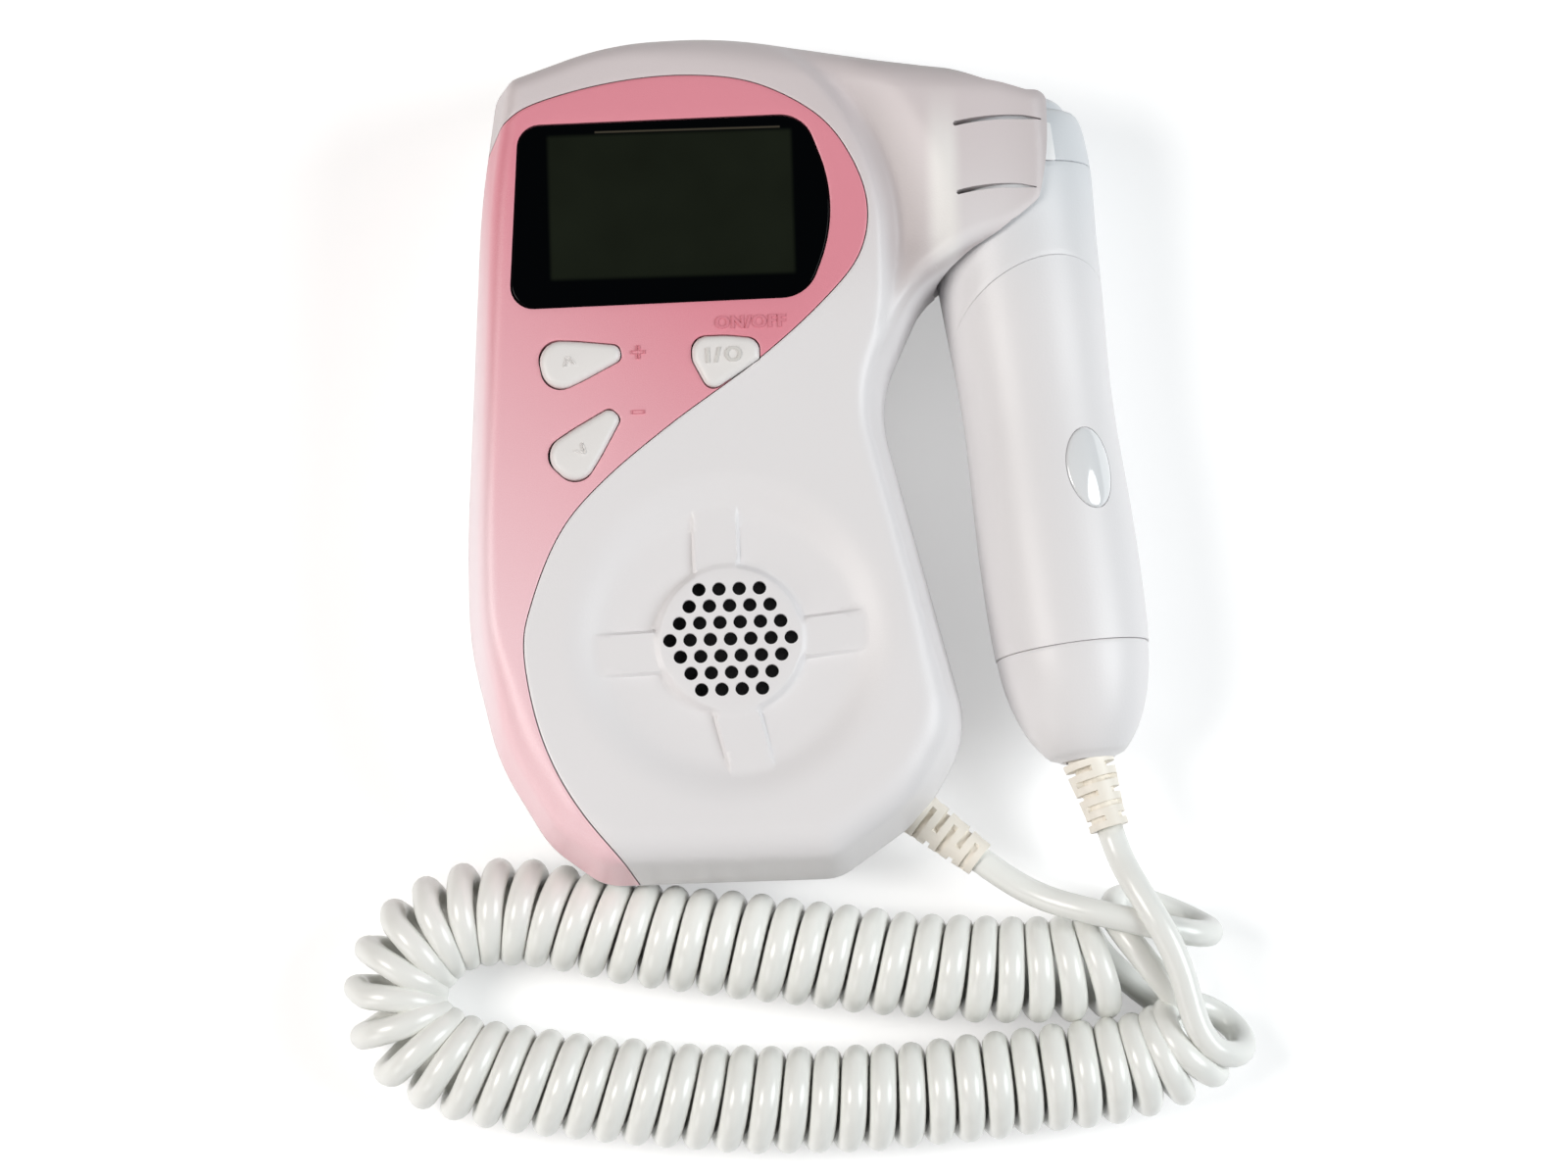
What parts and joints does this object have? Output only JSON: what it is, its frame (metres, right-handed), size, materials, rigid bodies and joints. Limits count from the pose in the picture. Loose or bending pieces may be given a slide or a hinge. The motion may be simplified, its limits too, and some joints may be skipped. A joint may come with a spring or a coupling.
{
  "type": "fetal doppler monitor",
  "caption": "Hand-held fetal heart monitor with a display, round speaker lobe, drop-shaped keys, a probe held in a side clip and a curly lead.",
  "frame": {"origin": "under the middle of the monitor with its probe, on the surface that its back rests on", "axes": "+X to the right across the face, +Y along the body towards the display end, +Z out of the face"},
  "size_m": [0.1463, 0.1888, 0.0349],
  "materials": {
    "white_shell": "satin white moulded ABS with a faint grain",
    "pink_paint": "fine satin pink paint on ABS",
    "window": "clear acrylic printed glossy black round the display area",
    "lcd": "dark unlit liquid crystal panel",
    "key_white": "satin white moulded keys",
    "relief_cream": "soft cream moulded elastomer",
    "cord_white": "glossy white cable jacket",
    "badge_grey": "clear domed label, bare",
    "lens_grey": "pale blue-grey acoustic elastomer",
    "seal_rubber": "black elastomer",
    "board_green": "green solder mask",
    "black_plastic": "black moulded plastic",
    "frame_white": "white light guide plastic",
    "steel": "zinc plated steel",
    "nickel": "nickel plated spring steel",
    "magnet_grey": "coated ferrite and steel",
    "paper_cone": "black pressed paper",
    "cell_wrap": "plain wrapped alkaline cell",
    "ceramic": "ceramic crystal with silver faces",
    "resin": "filled backing resin"
  },
  "bodies": {
    "monitor": {"rear_shell": "white_shell", "front_shell": "white_shell", "pink_fascia": "pink_paint", "display_window": "window", "lcd_panel": "lcd", "lcd_frame": "frame_white", "main_board": "board_green", "tact_switches": "black_plastic", "speaker_gasket": "seal_rubber", "speaker_frame": "steel", "speaker_cone": "paper_cone", "speaker_magnet": "magnet_grey", "battery_cells": "cell_wrap", "battery_plates": "nickel", "battery_springs": "nickel", "case_screws": "steel", "board_screws": "steel", "monitor_strain_relief": "relief_cream", "cord_lead_monitor": "cord_white", "cord_coil": "cord_white", "cord_lead_probe": "cord_white"},
    "volume_up": {"volume_up_key": "key_white", "volume_up_stem": "black_plastic"},
    "volume_down": {"volume_down_key": "key_white", "volume_down_stem": "black_plastic"},
    "power": {"power_key": "key_white", "power_stem": "black_plastic"},
    "battery_door": {"battery_door": "white_shell"},
    "probe": {"probe_nose_ring": "white_shell", "probe_head": "white_shell", "probe_barrel": "white_shell", "probe_badge": "badge_grey", "probe_tail_cap": "white_shell", "acoustic_lens": "lens_grey", "lens_seal": "seal_rubber", "transducer_crystals": "ceramic", "damping_block": "resin", "probe_board": "board_green", "probe_strain_relief": "relief_cream"}
  },
  "joints": [
    {"name": "volume_up_press", "type": "slide", "parent": "monitor", "child": "volume_up", "axis": [0, 0, -1], "range_m": [0, 0.0008], "stiffness_N_per_m": 2000},
    {"name": "volume_down_press", "type": "slide", "parent": "monitor", "child": "volume_down", "axis": [0, 0, -1], "range_m": [0, 0.0008], "stiffness_N_per_m": 2000},
    {"name": "power_press", "type": "slide", "parent": "monitor", "child": "power", "axis": [0, 0, -1], "range_m": [0, 0.0008], "stiffness_N_per_m": 2000},
    {"name": "battery_door_swing", "type": "hinge", "parent": "monitor", "child": "battery_door", "pos_m": [-0.01475, -0.0092, 0.0011], "axis": [1, 0, 0], "range_deg": [0, 75]},
    {"name": "probe_slide", "type": "slide", "parent": "monitor", "child": "probe", "axis": [-0.1037, 0.9946, 0], "range_m": [0, 0.042]}
  ]
}
